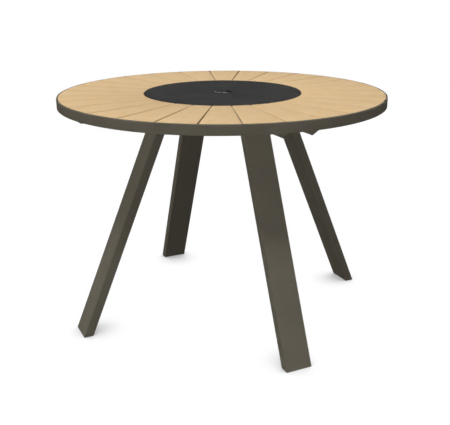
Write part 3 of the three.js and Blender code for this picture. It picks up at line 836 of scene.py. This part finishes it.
def add_screw(bm, radius, angle, level):
    """A pan head screw that points up into the top, seen from below."""
    outline = [
        (SCREW_AXIS_GAP, 0), (SCREW_HEAD_RADIUS, 0),
        *[(SCREW_HEAD_RADIUS * share, rise) for share, rise in SCREW_CROWN],
        (SCREW_SOCKET * SCREW_SOCKET_MOUTH, SCREW_HEAD_HEIGHT),
        (SCREW_SOCKET, SCREW_HEAD_HEIGHT - SCREW_SOCKET_EASE),
        (SCREW_SOCKET, SCREW_SOCKET_WALL_END), (SCREW_AXIS_GAP, SCREW_SOCKET_FLOOR),
    ]
    spot = polar(radius, angle)
    place = Matrix.Translation((spot.x, spot.y, level)) @ Matrix.Rotation(math.pi, 4, "X")
    turn_profile(bm, outline, SCREW_STEPS, place, six_sided=SCREW_SOCKET)


def make_slat_screws():
    """One quarter's screws, set round four times. The slat over the arm is screwed through it."""
    bm = bmesh.new()
    pitch = 2 * math.pi / SLAT_COUNT
    outer_row = ledge_high.x - LEDGE_WIDTH / 2
    inner_row = support_high.x - SUPPORT_WIDTH / 3
    for slat in range(1, SLATS_PER_LEG):
        add_screw(bm, inner_row, slat * pitch, ledge_low.z)
        for side in (-1, 1):
            add_screw(bm, outer_row, (slat + side * SLAT_SCREW_SHARE) * pitch, ledge_low.z)
    for row in (inner_row, outer_row):
        add_screw(bm, row, 0, arm_high.z - ARM_SHEET)
    screws = set_round(to_object("slat_screws", bm, steel), LEG_COUNT, steel)
    stands_for(screws, "frame", "stainless_fasteners")


def make_bearing_screws():
    bm = bmesh.new()
    row = (BEARING_INNER + track_high.x) / 2
    for side in (-1, 1):
        add_screw(bm, row, QUARTER / 2 + side * BEARING_SCREW_TURN, hub_low.z)
    screws = set_round(to_object("bearing_screws", bm, steel), LEG_COUNT, steel)
    stands_for(screws, "frame", "stainless_fasteners")


def arc_line(radius, first, last, level, steps):
    angles = [first + (last - first) * k / steps for k in range(steps + 1)]
    return [(*polar(radius, angle), level) for angle in angles]


def weld_lines():
    """The welds of one quarter, as lists of points, with the arm along +X."""
    lines = []
    top = arm_high.z - WELD_DROP
    bottom = arm_high.z - ARM_CHEEK_DROP
    for side in (-1, 1):
        y = side * (ARM_HALF_WIDTH - WELD_INSET)
        for start, end in (
            (ledge_high.x - LEDGE_WIDTH, ledge_high.x - WELD_LEDGE_STOP),
            (support_high.x - SUPPORT_WIDTH, support_high.x),
            (ARM_HALF_WIDTH + WELD_HUB_START, math.sqrt(hub_high.x ** 2 - ARM_HALF_WIDTH ** 2)),
        ):
            lines.append([(start, y, top), ((start + end) / 2, y, top), (end, y, top)])
        edge = base_high.x / math.sqrt(2) * WELD_BASE_SHARE
        lines.append([(ARM_HALF_WIDTH + WELD_BASE_START, y, bottom), (edge, y, bottom)])
    half = WELD_RIM_HALF / ledge_high.x
    for slat in range(1, SLATS_PER_LEG):
        middle = slat * QUARTER / SLATS_PER_LEG
        lines.append(arc_line(ledge_high.x, middle - half, middle + half, ledge_low.z, WELD_RIM_STEPS))
    lines.append(arc_line(guide_high.x, 0, QUARTER, base_low.z, WELD_GUIDE_STEPS))
    return lines


def make_welds():
    bm = bmesh.new()
    for line in weld_lines():
        verts = [bm.verts.new(point) for point in line]
        for first, second in zip(verts, verts[1:]):
            bm.edges.new((first, second))
    mesh = bpy.data.meshes.new("welds")
    bm.to_mesh(mesh)
    bm.free()
    welds = bpy.data.objects.new("frame_welds", mesh)
    bpy.context.scene.collection.objects.link(welds)
    use_tree(welds, weld_tree, Radius=WELD_RADIUS, Material=coat)
    set_round(welds, LEG_COUNT, coat)
    stands_for(welds, "frame", "frame_coating")


# Turntable

def make_bearing():
    lip_inner, lip_outer = BEARING_INNER + TRACK_LIP, track_high.x - TRACK_LIP
    floor = track_low.z + TRACK_FLOOR
    track = turned("bearing_track", [
        (BEARING_INNER, track_low.z), (track_high.x, track_low.z), (track_high.x, track_high.z),
        (lip_outer, track_high.z), (lip_outer, floor), (lip_inner, floor),
        (lip_inner, track_high.z), (BEARING_INNER, track_high.z),
    ], aluminium, BEARING_EDGE, BEARING_STEPS)
    stands_for(track, "frame", "bearing_aluminium", "turntable_track")
    outline = ring_profile(GLIDE_INNER, glide_high.x, glide_low.z, glide_high.z)
    glide = turned("bearing_slide_ring", outline, slide_plastic, BEARING_EDGE, BEARING_STEPS)
    stands_for(glide, "frame", "slide_plastic", "turntable_glide_ring")
    skirt = race_high.x - RACE_SKIRT
    plate = race_high.z - RACE_PLATE
    race = turned("bearing_race", [
        (BEARING_INNER, plate), (skirt, plate), (skirt, race_low.z), (race_high.x, race_low.z),
        (race_high.x, race_high.z), (BEARING_INNER, race_high.z),
    ], aluminium, BEARING_EDGE, BEARING_STEPS)
    stands_for(race, "turntable", "bearing_aluminium", "turntable_race")


def make_disc():
    bore = HOLE_RADIUS + GROMMET_WALL + GROMMET_CLEARANCE
    flange = grommet_high.x + GROMMET_CLEARANCE
    step = disc_high.z - GROMMET_FLANGE - GROMMET_CLEARANCE
    disc = turned("centre_disc", [
        (bore, disc_low.z), (DISC_RADIUS, disc_low.z), (DISC_RADIUS, disc_high.z),
        (flange, disc_high.z), (flange, step), (bore, step),
    ], board, DISC_EDGE, DISC_STEPS)
    stands_for(disc, "turntable", "disc_board", "turntable_disc")


def make_grommet():
    sleeve = HOLE_RADIUS + GROMMET_WALL
    under = grommet_low.z + GROMMET_FLANGE
    over = grommet_high.z - GROMMET_FLANGE
    grommet = turned("hole_sleeve", [
        (HOLE_RADIUS, grommet_low.z), (grommet_high.x, grommet_low.z), (grommet_high.x, under),
        (sleeve, under), (sleeve, over), (grommet_high.x, over),
        (grommet_high.x, grommet_high.z), (HOLE_RADIUS, grommet_high.z),
    ], sleeve_painted_light, GROMMET_EDGE, SLEEVE_STEPS)
    stands_for(grommet, "turntable", "grommet_metal", "parasol_grommet")


# Camera, light and floor

VIEW_TURN = math.radians(18.52)
CAMERA_ASIDE = 0.0646
CAMERA_BACK = 2.3270
CAMERA_HEIGHT = 1.1169
CAMERA_PITCH = math.radians(19.62)
SENSOR_WIDTH = 36
FOCAL_PIXELS = 715.2
IMAGE_WIDTH = 450
CENTRE_RIGHT_PIXELS = 17.81
CENTRE_DOWN_PIXELS = 13.60


def make_camera():
    data = bpy.data.cameras.new("camera")
    data.sensor_width = SENSOR_WIDTH
    data.lens = FOCAL_PIXELS * SENSOR_WIDTH / IMAGE_WIDTH
    data.shift_x = -CENTRE_RIGHT_PIXELS / IMAGE_WIDTH
    data.shift_y = CENTRE_DOWN_PIXELS / IMAGE_WIDTH
    camera = bpy.data.objects.new("camera", data)
    place = Vector((CAMERA_ASIDE, -CAMERA_BACK, CAMERA_HEIGHT))
    camera.location = Matrix.Rotation(VIEW_TURN, 3, "Z") @ place
    camera.rotation_euler = (math.pi / 2 - CAMERA_PITCH, 0, VIEW_TURN)
    bpy.context.scene.collection.objects.link(camera)
    bpy.context.scene.camera = camera


# The lamps, with their side and rise as seen from the camera and their width in degrees, and the level of
# the even light all round
KEY = dict(side=-15, rise=64.5, width=10, strength=0.95, shadow=True)
SLAT_FILL = dict(side=-60, rise=60, width=110, strength=2.22, shadow=True)
GAP_LIGHT = dict(side=-45, rise=8, width=20, strength=1.0, shadow=False)
FRAME_FILL = dict(side=-90, rise=76, width=180, strength=1.96, shadow=False)
RIM_LIGHT = dict(side=-20, rise=10, width=90, strength=0.14, shadow=False)
EVEN_LEVEL = 0.08


def make_lamp(name, lit=None, *, side, rise, width, strength, shadow):
    """A distant lamp that may light some pieces only. A side below zero is on the camera's left."""
    side, rise = math.radians(side), math.radians(rise)
    data = bpy.data.lights.new(name, "SUN")
    data.energy = strength
    data.angle = math.radians(width)
    data.use_shadow = shadow
    data.cycles.use_multiple_importance_sampling = shadow
    lamp = bpy.data.objects.new(name, data)
    towards = Vector((math.sin(side) * math.cos(rise), -math.cos(side) * math.cos(rise), math.sin(rise)))
    towards.rotate(Matrix.Rotation(VIEW_TURN, 3, "Z"))
    lamp.rotation_euler = towards.to_track_quat("Z", "Y").to_euler()
    bpy.context.scene.collection.objects.link(lamp)
    if lit:
        lamp.light_linking.receiver_collection = lit


def make_receivers(name, pieces):
    lit = bpy.data.collections.new(name)
    for piece in pieces:
        lit.objects.link(piece)
    return lit


def sees_white(tree):
    """One for the rays that see the white background: the camera's, reflected and passed through."""
    path = add_node(tree, "ShaderNodeLightPath").outputs
    reflected = math_node(tree, "MAXIMUM", path["Is Glossy Ray"], path["Is Transmission Ray"])
    return math_node(tree, "MAXIMUM", path["Is Camera Ray"], reflected)


def make_sky():
    """A low even light all round, before a white background."""
    world = bpy.data.worlds.new("studio")
    bpy.context.scene.world = world
    world.use_nodes = True
    tree = world.node_tree
    tree.nodes.clear()
    light = add_node(tree, "ShaderNodeBackground", {"Color": WHITE, "Strength": EVEN_LEVEL}).outputs[0]
    white = add_node(tree, "ShaderNodeBackground", {"Color": WHITE, "Strength": 1.0}).outputs[0]
    shown = add_node(tree, "ShaderNodeMixShader", {0: sees_white(tree), 1: light, 2: white}).outputs[0]
    add_node(tree, "ShaderNodeOutputWorld", {"Surface": shown})


def make_lights():
    """A soft key whose shadow the top casts on the legs, fills from above and two low lights.

    The slats' fill reaches them where the sky above them is open. The frame fill reaches all the rest
    unblocked. The gap light brightens the slats' sides in the gaps, and the rim light the rim's face.
    """
    slats = [bpy.data.objects["top_slats"]]
    rim = [bpy.data.objects["rim_bar"]]
    meshes = [piece for piece in bpy.context.scene.objects if piece.type == "MESH"]
    others = [piece for piece in meshes if piece not in slats]
    slats_only = make_receivers("lit by the slat fill", slats)
    make_lamp("key", **KEY)
    make_lamp("slat_fill", slats_only, **SLAT_FILL)
    make_lamp("gap_light", slats_only, **GAP_LIGHT)
    make_lamp("frame_fill", make_receivers("lit by the frame fill", others), **FRAME_FILL)
    make_lamp("rim_light", make_receivers("lit by the rim light", rim), **RIM_LIGHT)
    make_sky()


# The floor: the grey that it bounces, half its width, and its shadow, which reaches this far from a foot
# and is darkest where the least of the sky is open
FLOOR_BOUNCE = (0.10, 0.10, 0.10, 1)
FLOOR_REACH = 12
SHADOW_REACH = 0.14
SHADOW_SAMPLES = 24
SHADOW_OPEN_LEAST = 0.35
SHADOW_OPEN_MOST = 0.88
SHADOW_DARKEST = 0.42


def make_floor():
    """A white floor that keeps the soft shadow where each foot meets it."""
    material = bpy.data.materials.new("floor")
    material.use_nodes = True
    tree = material.node_tree
    tree.nodes.clear()
    open_share = add_node(tree, "ShaderNodeAmbientOcclusion", {"Distance": SHADOW_REACH},
                          samples=SHADOW_SAMPLES).outputs["AO"]
    level = spread(tree, open_share, SHADOW_OPEN_LEAST, SHADOW_OPEN_MOST, SHADOW_DARKEST, 1.0)
    seen = add_node(tree, "ShaderNodeEmission", {"Strength": level}).outputs[0]
    lit = add_node(tree, "ShaderNodeBsdfDiffuse", {"Color": FLOOR_BOUNCE}).outputs[0]
    mix = add_node(tree, "ShaderNodeMixShader", {0: sees_white(tree), 1: lit, 2: seen}).outputs[0]
    add_node(tree, "ShaderNodeOutputMaterial", {"Surface": mix})
    mesh = bpy.data.meshes.new("floor")
    corners = [(x * FLOOR_REACH, y * FLOOR_REACH, 0) for x, y in ((-1, -1), (1, -1), (1, 1), (-1, 1))]
    mesh.from_pydata(corners, [], [(0, 1, 2, 3)])
    mesh.materials.append(material)
    floor = bpy.data.objects.new("floor", mesh)
    bpy.context.scene.collection.objects.link(floor)


make_camera()
make_slats()
make_top_frame()
make_hub()
for corner_index in range(LEG_COUNT):
    make_corner(corner_index)
make_slat_screws()
make_bearing_screws()
make_welds()
make_bearing()
make_disc()
make_grommet()
make_floor()
make_lights()
bpy.context.scene.view_settings.view_transform = "Standard"
